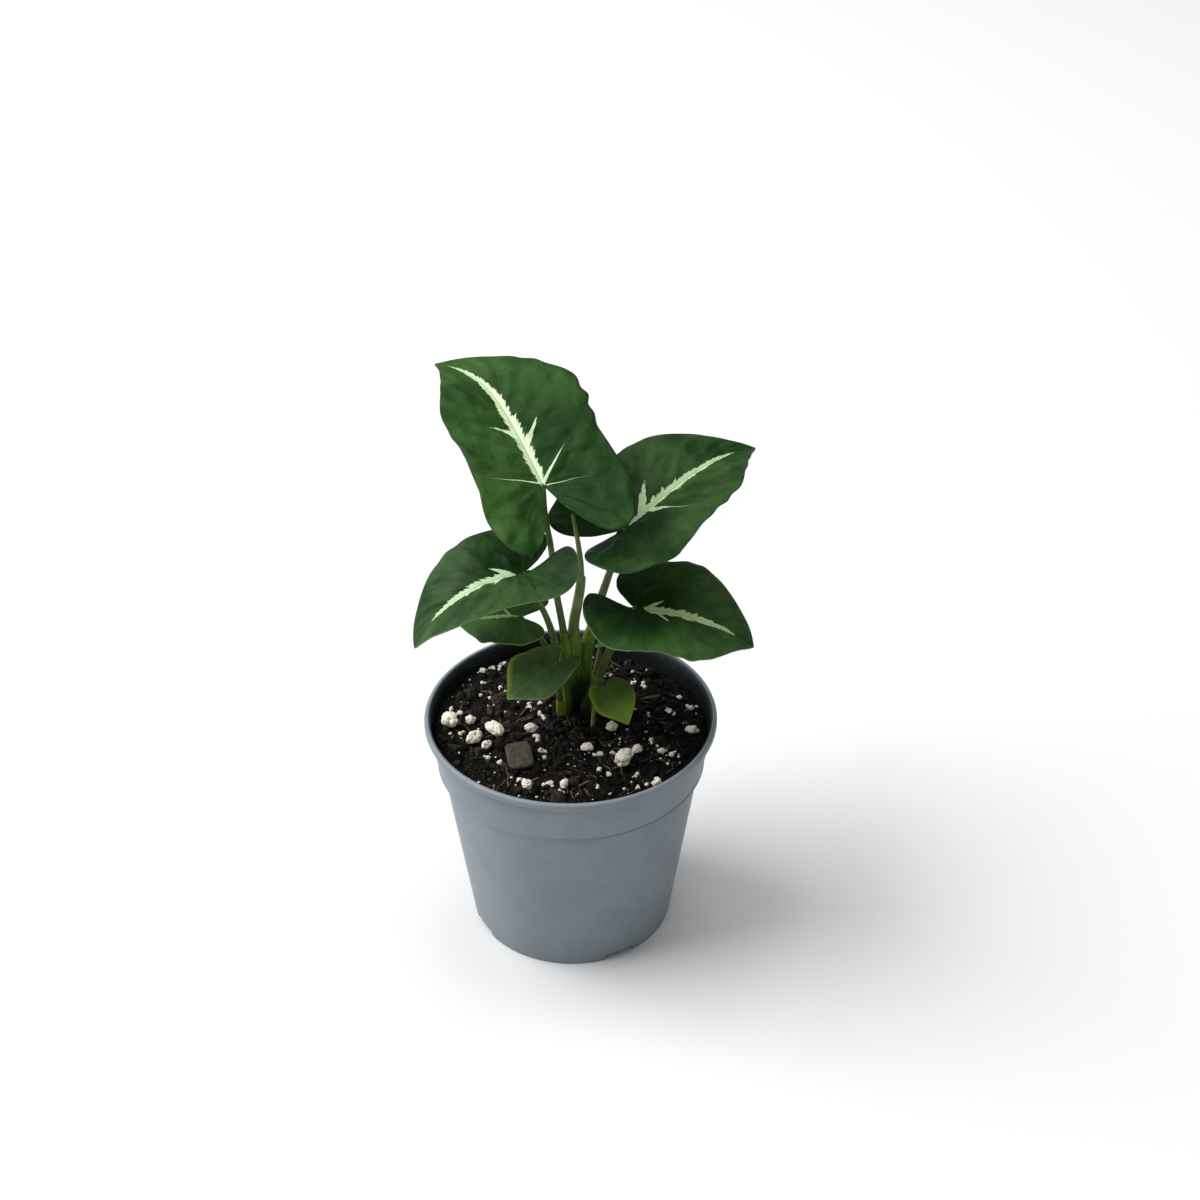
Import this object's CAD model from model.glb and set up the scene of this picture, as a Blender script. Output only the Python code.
import math
import random

import bmesh
import bpy
import numpy as np
from mathutils import Euler, Matrix, Vector, noise


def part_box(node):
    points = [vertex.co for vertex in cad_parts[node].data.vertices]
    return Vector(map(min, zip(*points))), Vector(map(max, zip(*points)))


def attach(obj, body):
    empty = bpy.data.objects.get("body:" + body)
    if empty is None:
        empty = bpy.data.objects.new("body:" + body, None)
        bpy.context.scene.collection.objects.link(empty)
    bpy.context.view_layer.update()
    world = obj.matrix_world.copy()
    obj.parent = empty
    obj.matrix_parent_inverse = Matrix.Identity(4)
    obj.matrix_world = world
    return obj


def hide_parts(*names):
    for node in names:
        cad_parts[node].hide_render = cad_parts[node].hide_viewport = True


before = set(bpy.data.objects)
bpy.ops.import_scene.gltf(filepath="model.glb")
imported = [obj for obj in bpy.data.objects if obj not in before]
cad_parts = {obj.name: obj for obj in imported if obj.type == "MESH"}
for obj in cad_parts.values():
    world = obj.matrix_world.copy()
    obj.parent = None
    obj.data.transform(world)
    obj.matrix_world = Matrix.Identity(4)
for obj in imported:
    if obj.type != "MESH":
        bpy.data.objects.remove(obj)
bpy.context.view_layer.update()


# ---- Studio ----
# A white paper floor, one large soft light on the left and a little behind, a faint one above,
# and a camera that looks down on the plant from the front.
EYE = (0.012, -0.654, 0.597)
LOOK_DOWN = 34.0

scene = bpy.context.scene
scene.view_settings.view_transform = "Standard"


def placed(name, data):
    """Puts a mesh, light or camera into the scene."""
    thing = bpy.data.objects.new(name, data)
    scene.collection.objects.link(thing)
    return thing


def mesh_of(name, bm):
    """Turns a working mesh into a finished one."""
    mesh = bpy.data.meshes.new(name)
    bm.to_mesh(mesh)
    bm.free()
    return mesh


lens = bpy.data.cameras.new("camera")
lens.lens = 60.0
lens.sensor_width = 36.0
camera = placed("camera", lens)
camera.location = EYE
camera.rotation_euler = (math.radians(90.0 - LOOK_DOWN), 0.0, 0.0)
scene.camera = camera

world = bpy.data.worlds.new("studio_air")
world.use_nodes = True
air = world.node_tree.nodes["Background"].inputs
air["Color"].default_value = (0.95, 0.98, 1.0, 1.0)
air["Strength"].default_value = 0.42
scene.world = world


def soft_box(name, place, watts, width):
    """A square studio light that faces the plant."""
    lamp = bpy.data.lights.new(name, "AREA")
    lamp.energy = watts
    lamp.size = width
    holder = placed(name, lamp)
    holder.location = place
    aim = Vector((0.0, 0.0, 0.1)) - Vector(place)
    holder.rotation_euler = aim.to_track_quat("-Z", "Y").to_euler()


soft_box("key_light", (-2.7, 0.2, 3.05), 250.0, 3.5)
soft_box("top_light", (0.3, 0.6, 3.4), 35.0, 1.6)

paper = bmesh.new()
bmesh.ops.create_grid(paper, x_segments=1, y_segments=1, size=4.0)
floor = placed("studio_floor", mesh_of("studio_floor", paper))
white = bpy.data.materials.new("white_paper")
white.use_nodes = True
coat = white.node_tree.nodes["Principled BSDF"].inputs
coat["Base Color"].default_value = (0.68, 0.68, 0.68, 1.0)
coat["Roughness"].default_value = 1.0
coat["Specular IOR Level"].default_value = 0.0
floor.data.materials.append(white)


# ---- Paints and pieces ----
# What every part below shares: small shader steps, because each material is a chain of noises
# and blends, and the step that turns a mesh made in millimetres into a finished piece.
MM = 0.001


def node(kind, sockets, beside=None, **settings):
    """Adds a shader node in the tree of its inputs, or beside a socket; sockets take values too."""
    feeds = [value for value in sockets.values() if isinstance(value, bpy.types.NodeSocket)]
    tree = (beside or feeds[0]).id_data
    made = tree.nodes.new("ShaderNode" + kind)
    for name, value in settings.items():
        setattr(made, name, value)
    for name, value in sockets.items():
        if isinstance(value, bpy.types.NodeSocket):
            tree.links.new(value, made.inputs[name])
        else:
            made.inputs[name].default_value = value
    return made


def maths(operation, first, second=0.0):
    """One sum on two values, either of which may be an output."""
    return node("Math", {0: first, 1: second}, operation=operation).outputs[0]


def plus(first, second):
    return maths("ADD", first, second)


def minus(first, second):
    return maths("SUBTRACT", first, second)


def times(first, second):
    return maths("MULTIPLY", first, second)


def parts_of(place):
    """The x, y and z of a place."""
    return node("SeparateXYZ", {0: place}).outputs


def carried(beside, name):
    """A value that the mesh carries on its points."""
    return node("Attribute", {}, beside, attribute_name=name).outputs["Fac"]


def grain(where, scale, detail=3.0, rough=0.5):
    """Cloudy noise from 0 to 1, on a place scaled by one number or by one per axis."""
    scale = scale if isinstance(scale, tuple) else (scale, scale, scale)
    spread = node("Mapping", {"Vector": where, "Scale": scale})
    made = node("TexNoise", {"Vector": spread.outputs[0], "Scale": 1.0, "Detail": detail,
                             "Roughness": rough})
    return made.outputs[0]


def between(value, low, high, out_low=0.0, out_high=1.0):
    """Rescales a value, smoothly and held at both ends."""
    made = node("MapRange", {0: value, 1: low, 2: high, 3: out_low, 4: out_high},
                interpolation_type="SMOOTHSTEP")
    return made.outputs[0]


def blend(share, first, second):
    """Mixes two colours."""
    first, second = [(*c, 1.0) if isinstance(c, tuple) else c for c in (first, second)]
    return node("Mix", {0: share, 6: first, 7: second}, data_type="RGBA").outputs[2]


def over(colour, fresh, value, low, high, out_low=0.0, out_high=1.0):
    """Lays a fresh colour over another as a value goes from low to high."""
    return blend(between(value, low, high, out_low, out_high), colour, fresh)


def paint(name, rough, gloss):
    """A new material, and the place on the piece in millimetres."""
    mat = bpy.data.materials.new(name)
    mat.use_nodes = True
    shader = mat.node_tree.nodes["Principled BSDF"]
    shader.inputs["Roughness"].default_value = rough
    shader.inputs["Specular IOR Level"].default_value = gloss
    spot = node("TexCoord", {}, shader.inputs[0]).outputs["Object"]
    in_mm = node("Mapping", {"Vector": spot, "Scale": (1000.0, 1000.0, 1000.0)}).outputs[0]
    return mat, in_mm


def finished(mat, colour, height, depth, strength=1.0, rough=None):
    """Gives a material its colour, a bump of some depth in millimetres, and its roughness."""
    shader = mat.node_tree.nodes["Principled BSDF"]
    bump = node("Bump", {"Height": height, "Distance": depth * MM, "Strength": strength})
    plugs = {"Base Color": colour, "Normal": bump.outputs[0], "Roughness": rough}
    for name, output in plugs.items():
        if output is not None:
            mat.node_tree.links.new(output, shader.inputs[name])
    return mat


def piece_of(name, bm, paints, nodes=(), smooth=True):
    """Turns a mesh made in millimetres into a finished piece of the plant."""
    bm.transform(Matrix.Scale(MM, 4))
    mesh = mesh_of(name, bm)
    mesh.polygons.foreach_set("use_smooth", [smooth] * len(mesh.polygons))
    for mat in paints:
        mesh.materials.append(mat)
    piece = placed(name, mesh)
    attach(piece, "root")
    if nodes:
        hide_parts(*nodes)
    return piece


# ---- Pot ----
# A 12 cm nursery pot, injection moulded in blue-grey polypropylene: one thin wall with a rolled
# lip, a collar that steps in to the tapered body, a foot ring with four drain notches and holes.
_, pot_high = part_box("pot")
RIM_R = pot_high.x / MM
POT_H = pot_high.z / MM
COLLAR_TOP_R, COLLAR_FOOT_R = RIM_R - 1.6, RIM_R - 5.0
COLLAR_FOOT_Z = 79.0
BODY_TOP_R, BASE_R = RIM_R - 6.8, RIM_R - 17.4
WALL, LIP_W = 1.1, 2.4
FLOOR_Z, FLOOR_T = 3.4, 1.6
PAD_R = 6.5
FOOT_W = 2.4
NOTCH_W, NOTCH_H, NOTCH_REACH, NOTCH_TAPER = 15.5, 3.0, 9.0, 0.84
NOTCH_FIRST = -62.0
HOLE_R, HOLE_RING = 4.5, 27.0
LIP_ARC = 1.25


def moulded_plastic(name, dirty):
    """Satin grey-blue plastic with dust in its creases; the inside is filmed with peat."""
    mat, spot = paint(name, 0.46, 0.10 if dirty else 0.4)
    high = parts_of(spot)[2]
    cloud = grain(spot, 0.05, 4.0, 0.6)
    rubbed = grain(spot, (0.10, 0.10, 0.9), 3.0, 0.6)
    speck = grain(spot, 1.3, 2.0, 0.5)
    colour = over((0.156, 0.187, 0.211), (0.183, 0.214, 0.239), cloud, 0.35, 0.68)
    colour = over(colour, (0.210, 0.236, 0.256), rubbed, 0.45, 0.75, 0.0, 0.35)
    colour = over(colour, (0.07, 0.075, 0.075), speck, 0.745, 0.77, 0.0, 0.6)
    for crease, reach in ((COLLAR_FOOT_Z - 1.0, 1.5), (POT_H - 3.6, 0.5)):
        near = maths("ABSOLUTE", minus(high, crease - 0.3 * reach))
        dust = between(near, 0.25 * reach, reach, 0.55, 0.0)
        colour = blend(dust, colour, (0.05, 0.055, 0.06))
    if dirty:
        ragged = times(grain(spot, 0.35, 5.0, 0.65), 7.0)
        film = between(minus(high, ragged), 90.0, 99.0, 0.98, 0.70)
        colour = blend(film, colour, (0.007, 0.008, 0.008))
    height = plus(cloud, times(grain(spot, 2.4), 0.25))
    rough = between(rubbed, 0.3, 0.8, 0.40, 0.56)
    return finished(mat, colour, height, 0.12, 0.5, rough)


def arc(middle, radius, first, last, steps):
    """Points (radius from the axis, height) on a round stretch of a profile."""
    turns = [math.radians(first + (last - first) * k / steps) for k in range(steps + 1)]
    return [(middle[0] + radius * math.cos(t), middle[1] + radius * math.sin(t)) for t in turns]


def spun(profile, sides):
    """Spins a profile about the pot's axis."""
    bm = bmesh.new()
    verts = [bm.verts.new((r, 0.0, z)) for r, z in profile]
    edges = [bm.edges.new(pair) for pair in zip(verts, verts[1:])]
    bmesh.ops.spin(bm, geom=verts + edges, cent=(0, 0, 0), axis=(0, 0, 1), dvec=(0, 0, 0),
                   angle=math.tau, steps=sides, use_merge=True, use_duplicate=False)
    bmesh.ops.remove_doubles(bm, verts=bm.verts, dist=0.001)
    bmesh.ops.recalc_face_normals(bm, faces=bm.faces)
    return bm


def carve(piece, bm, turn):
    """Cuts a tool's shape, turned to its place, out of a piece for good."""
    bm.transform(turn)
    bm.transform(Matrix.Scale(MM, 4))
    tool = placed("tool", mesh_of("tool", bm))
    cut = piece.modifiers.new("cut", "BOOLEAN")
    cut.operation = "DIFFERENCE"
    cut.solver = "EXACT"
    cut.object = tool
    bpy.context.view_layer.update()
    final = piece.evaluated_get(bpy.context.evaluated_depsgraph_get())
    shaped = bpy.data.meshes.new_from_object(final)
    piece.modifiers.remove(cut)
    piece.data = shaped
    bpy.data.objects.remove(tool)


lip_mid = RIM_R - LIP_ARC
profile = [(0.0, 0.0), (PAD_R, 0.0), (PAD_R + 0.4, FLOOR_Z), (BASE_R - FOOT_W - 0.6, FLOOR_Z),
           (BASE_R - FOOT_W - 0.3, 0.0), (BASE_R - 0.7, 0.0)]
profile += arc((BASE_R - 0.7, 0.7), 0.7, -60, -5, 3)
profile += [(BASE_R + (BODY_TOP_R - BASE_R) * k / 6, 0.7 + (COLLAR_FOOT_Z - 3.4) * k / 6)
            for k in range(1, 7)]
profile += [(BODY_TOP_R + 0.15, COLLAR_FOOT_Z - 0.95)]
profile += arc((COLLAR_FOOT_R - 0.2, COLLAR_FOOT_Z - 0.2), 0.6, -90, 60, 6)
profile += [(COLLAR_FOOT_R + 0.25, COLLAR_FOOT_Z + 1.0), (COLLAR_FOOT_R + 1.7, COLLAR_FOOT_Z + 9.5),
            (COLLAR_TOP_R - 0.2, POT_H - 4.3), (COLLAR_TOP_R - 0.3, POT_H - 3.7),
            (COLLAR_TOP_R + 0.3, POT_H - 3.3)]
profile += arc((lip_mid, POT_H - 2.2), LIP_ARC, -60, 0, 4)
profile += arc((lip_mid, POT_H - LIP_ARC), LIP_ARC, 12, 168, 9)
profile += [(RIM_R - LIP_W - 0.3, POT_H - 2.6), (COLLAR_TOP_R - WALL, POT_H - 4.4),
            (COLLAR_FOOT_R - WALL, COLLAR_FOOT_Z + 0.4), (BODY_TOP_R - WALL, COLLAR_FOOT_Z - 3.0),
            (BASE_R - WALL - 0.8, FLOOR_Z + FLOOR_T), (0.0, FLOOR_Z + FLOOR_T)]
shell = spun(profile, 160)
for face in shell.faces:
    middle = face.calc_center_median()
    inward = face.normal.x * middle.x + face.normal.y * middle.y < 0 and middle.z > FLOOR_Z
    face.material_index = 1 if inward and math.hypot(middle.x, middle.y) < RIM_R - 1.9 else 0
pot = piece_of("pot_shell", shell, [moulded_plastic("grey_plastic", False),
                                    moulded_plastic("grey_plastic_inside", True)],
               ["pot"])
for quarter in range(4):
    turn = Matrix.Rotation(math.radians(NOTCH_FIRST + 90 * quarter), 4, "Z")
    notch = bmesh.new()
    bmesh.ops.create_cube(notch, size=1.0)
    bmesh.ops.scale(notch, vec=(NOTCH_REACH, NOTCH_W, NOTCH_H + 2), verts=notch.verts)
    notch.transform(Matrix.Translation((BASE_R - 1.0, 0, (NOTCH_H - 2) / 2)))
    for v in notch.verts:
        if v.co.z > 0:
            v.co.y *= NOTCH_TAPER
    carve(pot, notch, turn)
    hole = bmesh.new()
    bmesh.ops.create_cone(hole, cap_ends=True, segments=32, radius1=HOLE_R, radius2=HOLE_R,
                          depth=8.0)
    hole.transform(Matrix.Translation((HOLE_RING, 0, FLOOR_Z)))
    carve(pot, hole, turn)
pot.data.shade_smooth()
pot.data.set_sharp_from_angle(angle=math.radians(38))


# ---- Potting mix ----
# Damp black peat that fills the pot almost to its lip, with a crumbly top. One closed turned
# body whose top is pushed up and down by several sizes of clod and crumb.
SOIL_TOP = 93.0
SOIL_LEAN = -0.02
CROWN = (2.0, 12.0)
SOIL_R = RIM_R - 3.8
SOIL_FOOT = FLOOR_Z + FLOOR_T + 0.3
DAMP_FROM, DAMP_TO = -8.0, 20.0      # the mix is damper, so darker, to the right of these x
DAMP_SHARE = 0.65


def ground(x, y):
    """Height of the soil's large lumps."""
    away = math.hypot(x - CROWN[0], y - CROWN[1])
    mound = 1.2 * math.exp(-(away / 26.0) ** 2)
    bump = 1.1 * noise.noise(Vector((x * 0.11, y * 0.11, 3.1)))
    return SOIL_TOP + SOIL_LEAN * x + mound + bump


def crumbly(x, y):
    """Height of the soil with its crumbs."""
    spot = Vector((x, y, 0.0))
    warp = (noise.noise(spot * 0.35), noise.noise(spot * 0.35 + Vector((5, 5, 0))), 0.0)
    spot += 1.2 * Vector(warp)
    clod = 1.0 - min(noise.voronoi(spot * 0.17 + Vector((4, 7, 0)))[0][0], 1.0)
    lump = 1.0 - min(noise.voronoi(spot * 0.36)[0][0], 1.0)
    small = 1.0 - min(noise.voronoi(spot * 0.85 + Vector((9, 2, 0)))[0][0], 1.0)
    rough = noise.noise(spot * 1.7) + 0.5 * noise.noise(spot * 3.6)
    return ground(x, y) - 1.8 + 1.5 * clod ** 2 + 1.3 * lump ** 2 + 0.8 * small ** 2 + 0.25 * rough


def damped(spot, colour, wet, share):
    """Turns a colour towards its wet tone on the damp side of the mix."""
    return over(colour, wet, parts_of(spot)[0], DAMP_FROM, DAMP_TO, 0.0, share)


def peat(name, dark, light, dust, wet):
    """The mix itself: two dark tones in clouds, specks of dust, and its wet tone."""
    mat, spot = paint(name, 0.88, 0.10)
    coarse = grain(spot, 0.22, 4.0, 0.6)
    fine = grain(spot, 1.5, 5.0, 0.7)
    colour = over(dark, light, coarse, 0.3, 0.7)
    colour = over(colour, dust, fine, 0.60, 0.80, 0.0, 0.55)
    colour = damped(spot, colour, wet, DAMP_SHARE)
    rough = between(coarse, 0.35, 0.65, 0.55, 0.95)
    return finished(mat, colour, fine, 0.9, rough=rough)


RINGS = 96
top = [(SOIL_R * 0.995 * (1 - k / RINGS), SOIL_TOP) for k in range(RINGS + 1)]
body = [(0.0, SOIL_FOOT), (BASE_R - WALL - 1.8, SOIL_FOOT),
        (BODY_TOP_R - WALL - 0.6, COLLAR_FOOT_Z - 3.2),
        (COLLAR_FOOT_R - WALL - 0.6, COLLAR_FOOT_Z + 1.0), (SOIL_R - 0.7, SOIL_TOP - 3.6)]
mix = spun(body + top, 288)
for v in mix.verts:
    if v.co.z > SOIL_TOP - 0.5:
        v.co.z = crumbly(v.co.x, v.co.y)
skin = peat("damp_peat", (0.0035, 0.0033, 0.003), (0.011, 0.0095, 0.008), (0.030, 0.025, 0.020),
            (0.0030, 0.0032, 0.0030))
piece_of("potting_mix", mix, [skin], ["soil"])


# ---- Crumbs, shreds and roots on the soil ----
# What a peat mix shows on top: peat crumbs from dust to pea size, torn bark fibres and hair-thin
# roots. Each kind is one piece made of many small closed bodies, scattered with a fixed seed.
scatter = random.Random(11)
noise.seed_set(11)            # noise_vector follows the clock unless it is seeded


def spot_on_soil(reach, clear):
    """A random place on the soil, away from the crown."""
    while True:
        away = reach * math.sqrt(scatter.random())
        turn = scatter.uniform(0.0, math.tau)
        x, y = away * math.cos(turn), away * math.sin(turn)
        if math.hypot(x - CROWN[0], y - CROWN[1]) > clear:
            return x, y


def tumbled():
    """A turn in a random direction."""
    return Euler([scatter.uniform(0, math.tau) for _ in range(3)]).to_matrix().to_4x4()


def heap(bits):
    """Joins many small closed bodies, each with its own tone, into one mesh."""
    spots, faces, tones = [], [], []
    for bm, shade in bits:
        bm.verts.index_update()
        first = len(spots)
        spots += [v.co[:] for v in bm.verts]
        faces += [[first + v.index for v in face.verts] for face in bm.faces]
        tones += [shade] * len(bm.verts)
        bm.free()
    mesh = bpy.data.meshes.new("heap")
    mesh.from_pydata(spots, [], faces)
    mesh.attributes.new("tone", "FLOAT", "POINT").data.foreach_set("value", tones)
    joined = bmesh.new()
    joined.from_mesh(mesh)
    bpy.data.meshes.remove(mesh)
    return joined


def crumb(reach, clear, size, finer, sink):
    """One torn lump of peat, pressed into the soil."""
    x, y = spot_on_soil(reach, clear)
    bm = bmesh.new()
    bmesh.ops.create_icosphere(bm, subdivisions=finer, radius=1.0)
    shift = Vector((x, y, size))
    squash = Vector((1.0, scatter.uniform(0.55, 1.0), scatter.uniform(0.4, 0.8)))
    for v in bm.verts:
        v.co = v.co * (1.0 + 0.38 * noise.noise(v.co * 1.6 + shift)) * size * squash
    height = crumbly(x, y) + size * (0.35 - sink)
    bm.transform(Matrix.Translation((x, y, height)) @ tumbled())
    return bm, scatter.random()


# how many, how far out and how clear of the crown they lie, least and most size, fineness of the
# mesh, and how deep they sink in as a share of their size
CRUMBS = [(2600, SOIL_R - 1.0, 6.0, 0.35, 0.95, 1, 0.1),
          (560, SOIL_R - 2.0, 6.0, 0.9, 1.9, 2, 0.25),
          (95, SOIL_R - 5.0, 12.0, 1.8, 3.5, 3, 0.4),
          (130, 15.0, 5.0, 1.0, 2.3, 2, 0.0)]
crumbs = [crumb(reach, clear, scatter.uniform(least, most), finer, sink)
          for count, reach, clear, least, most, finer, sink in CRUMBS for _ in range(count)]


def crumb_finish(name, dark, light, damp=0.0):
    """Peat or bark whose shade follows each bit's own tone, darker on the damp side by damp."""
    mat, spot = paint(name, 0.9, 0.12)
    tone = carried(spot, "tone")
    fine = grain(spot, 1.6, 5.0, 0.7)
    mixed = plus(tone, times(fine, 0.7))
    colour = over(dark, light, mixed, 0.35, 1.45)
    return finished(mat, damped(spot, colour, dark, damp), fine, 0.5)


skin = crumb_finish("peat_crumb", (0.004, 0.0035, 0.003), (0.040, 0.033, 0.027), DAMP_SHARE)
piece_of("peat_crumbs", heap(crumbs), [skin], smooth=False)


def shred(spot=None, long=None, wide=None):
    """A torn, curled splinter of bark that tapers to both ends."""
    x, y = spot or spot_on_soil(SOIL_R - 4.0, 9.0)
    long, wide = long or scatter.uniform(1.6, 6.5), wide or scatter.uniform(0.4, 1.1)
    thick = scatter.uniform(0.2, 0.5)
    curl = scatter.uniform(-0.5, 0.5)
    bm = bmesh.new()
    bmesh.ops.create_cube(bm, size=1.0)
    lengthwise = [e for e in bm.edges if abs(e.verts[0].co.x - e.verts[1].co.x) > 0.5]
    bmesh.ops.subdivide_edges(bm, edges=lengthwise, cuts=3)
    for v in bm.verts:
        taper = 1.0 - 1.3 * abs(v.co.x) ** 2
        torn = 0.12 * noise.noise_vector(v.co * 3 + Vector((x, y, 0)))
        v.co = Vector((v.co.x * long, v.co.y * wide * taper + curl * v.co.x ** 2 * 2,
                       v.co.z * thick * taper)) + torn
    tilt = Euler((scatter.uniform(-0.5, 0.5), scatter.uniform(-0.35, 0.35),
                  scatter.uniform(0, math.tau)))
    place = Matrix.Translation((x, y, crumbly(x, y) + 0.45)) @ tilt.to_matrix().to_4x4()
    bm.transform(place)
    return bm, scatter.uniform(0.05, 1.0)


# the larger splinters: place, length, width
LARGE_SHREDS = [((33, 21), 9.0, 2.6), ((30, 23), 6.0, 2.0), ((-24, 1), 9.0, 3.0),
                ((-20, 5), 8.0, 2.2), ((33, -19), 11.0, 1.6), ((39, -22), 9.0, 1.8),
                ((30, -33), 8.0, 1.4), ((-28, -4), 7.0, 2.4), ((45, -12), 8.0, 1.3),
                ((6, -35), 12.0, 1.3), ((-34, 10), 8.0, 2.0), ((42, 24), 7.0, 0.9)]
shreds = [shred() for _ in range(190)] + [shred(*one) for one in LARGE_SHREDS]
skin = crumb_finish("bark_shred", (0.012, 0.009, 0.007), (0.130, 0.100, 0.072))
piece_of("bark_shreds", heap(shreds), [skin], smooth=False)


def smooth_path(points, steps):
    """Even curve through the given points."""
    pts = [Vector(p) for p in points]
    pts = [2 * pts[0] - pts[1]] + pts + [2 * pts[-1] - pts[-2]]
    out = []
    for i in range(1, len(pts) - 2):
        a, b, c, d = pts[i - 1:i + 3]
        for k in range(steps):
            t = k / steps
            out.append(0.5 * (2 * b + (c - a) * t + (2 * a - 5 * b + 4 * c - d) * t * t
                              + (3 * b - a - 3 * c + d) * t ** 3))
    out.append(pts[-2])
    return out


def swept(bm, path, radii, sides, shape=None):
    """Adds a closed tube along a path; shape(turn, share of length) scales its radius."""
    made = bmesh.ops.create_grid(bm, x_segments=sides, y_segments=len(path) - 1, size=1.0)
    uv = bm.loops.layers.uv.get("flat") or bm.loops.layers.uv.new("flat")
    faces = {face for v in made["verts"] for face in v.link_faces}
    length = sum((b - a).length for a, b in zip(path, path[1:]))
    for face in faces:
        for loop in face.loops:
            at = loop.vert.co
            loop[uv].uv = ((at.x + 1) / 2, (at.y + 1) / 2 * length / 100)
    frames = []
    side = Vector((1.0, 0.0, 0.0))
    for i in range(len(path)):
        ahead = (path[min(i + 1, len(path) - 1)] - path[max(i - 1, 0)]).normalized()
        side = (side - ahead * side.dot(ahead)).normalized()
        frames.append((side, ahead.cross(side)))
    for v in made["verts"]:
        i = round((v.co.y + 1) / 2 * (len(path) - 1))
        turn = (v.co.x + 1) * math.pi
        wide = radii[i] * (shape(turn, i / (len(path) - 1)) if shape else 1.0)
        v.co = path[i] + wide * (math.cos(turn) * frames[i][0] + math.sin(turn) * frames[i][1])
    bmesh.ops.remove_doubles(bm, verts=made["verts"], dist=0.0005)
    rims = [e for e in bm.edges if e.is_boundary]
    bmesh.ops.holes_fill(bm, edges=rims, sides=0)
    return bm


def root():
    """A hair-thin root that wanders over the soil."""
    x, y = spot_on_soil(SOIL_R - 8.0, 9.0)
    heading = scatter.uniform(0.0, math.tau)
    path = []
    for _ in range(scatter.randint(4, 8)):
        path.append((x, y, crumbly(x, y) + scatter.uniform(0.1, 0.9)))
        heading += scatter.uniform(-0.7, 0.7)
        x, y = x + 2.2 * math.cos(heading), y + 2.2 * math.sin(heading)
        if math.hypot(x, y) > SOIL_R - 2.0:
            break
    if len(path) < 3:
        return None
    line = smooth_path(path, 3)
    bm = bmesh.new()
    thick = scatter.uniform(0.10, 0.22)
    swept(bm, line, [thick * (1.0 - 0.6 * k / len(line)) for k in range(len(line))], 5)
    return bm, scatter.random()


roots = [root() for _ in range(70)]
skin = crumb_finish("root_hair", (0.035, 0.028, 0.020), (0.230, 0.190, 0.135))
piece_of("fine_roots", heap([one for one in roots if one]), [skin])


# ---- Perlite ----
# Expanded volcanic glass: chalky, creamy white popcorn-like grains, stained by the peat. The
# larger ones stand for the solids; the rest are strewn between them and pressed in.
def popcorn(middle, size, finer, seed, long=1.0, heading=0.0):
    """One knobbly grain of round lumps and creases; long stretches it along heading."""
    bm = bmesh.new()
    bmesh.ops.create_icosphere(bm, subdivisions=finer, radius=1.0)
    crease = bm.verts.layers.float.new("crease")
    shift = Vector((seed * 3.7, seed * 1.3, seed * 0.7))
    for v in bm.verts:
        big = 1.0 - min(noise.voronoi(v.co * 1.25 + shift)[0][0], 1.0) ** 2
        knob = 1.0 - min(noise.voronoi(v.co * 3.2 + shift)[0][0], 1.0) ** 2
        swing = 0.30 * noise.noise(v.co * 0.8 + shift)
        v[crease] = 1.0 - 0.7 * big - 0.3 * knob
        v.co *= size * (0.42 + swing + 0.42 * big + 0.17 * knob)
        v.co.x *= long * (1.12 + 0.12 * math.sin(1.7 * seed))
        v.co.y *= 0.94 / long
        v.co.z *= 0.85
    turn = Euler((0.0, 0.0, heading or seed * 2.1)).to_matrix().to_4x4()
    bm.transform(Matrix.Translation(middle) @ turn)
    return bm


def perlite_finish(name, bright, stain):
    """Chalky grains with stains in clouds, dirt in specks and in the creases."""
    mat, spot = paint(name, 0.92, 0.25)
    pores = node("TexVoronoi", {"Vector": spot, "Scale": 2.2}, feature="F1").outputs[0]
    cloud = grain(spot, 0.45, 4.0, 0.65)
    fine = grain(spot, 3.0, 4.0, 0.7)
    colour = over(bright, stain, cloud, 0.46, 0.72, 0.0, 0.75)
    colour = over(colour, (0.22, 0.17, 0.11), fine, 0.62, 0.78, 0.0, 0.7)
    crease = carried(spot, "crease")
    colour = over(colour, (0.30, 0.21, 0.12), crease, 0.36, 0.72, 0.0, 0.75)
    return finished(mat, colour, plus(pores, fine), 0.35)


chalk = perlite_finish("perlite_chalk", (0.93, 0.88, 0.74), (0.66, 0.54, 0.38))
# three grains are long: how much, and which way
LONG_GRAINS = {"perlite_03": (1.18, 0.7), "perlite_04": (1.18, -0.7), "perlite_10": (1.22, 0.8)}
grains = sorted(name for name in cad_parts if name.startswith("perlite_"))
for seed, name in enumerate(grains, 1):
    low, high = [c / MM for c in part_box(name)]
    middle = (low + high) / 2
    size = (high.x - low.x) / 2
    middle.z -= 0.18 * size
    lump = popcorn(middle, size * 1.08, 5, seed, *LONG_GRAINS.get(name, ()))
    piece_of(name + "_grain", lump, [chalk], [name])

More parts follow.
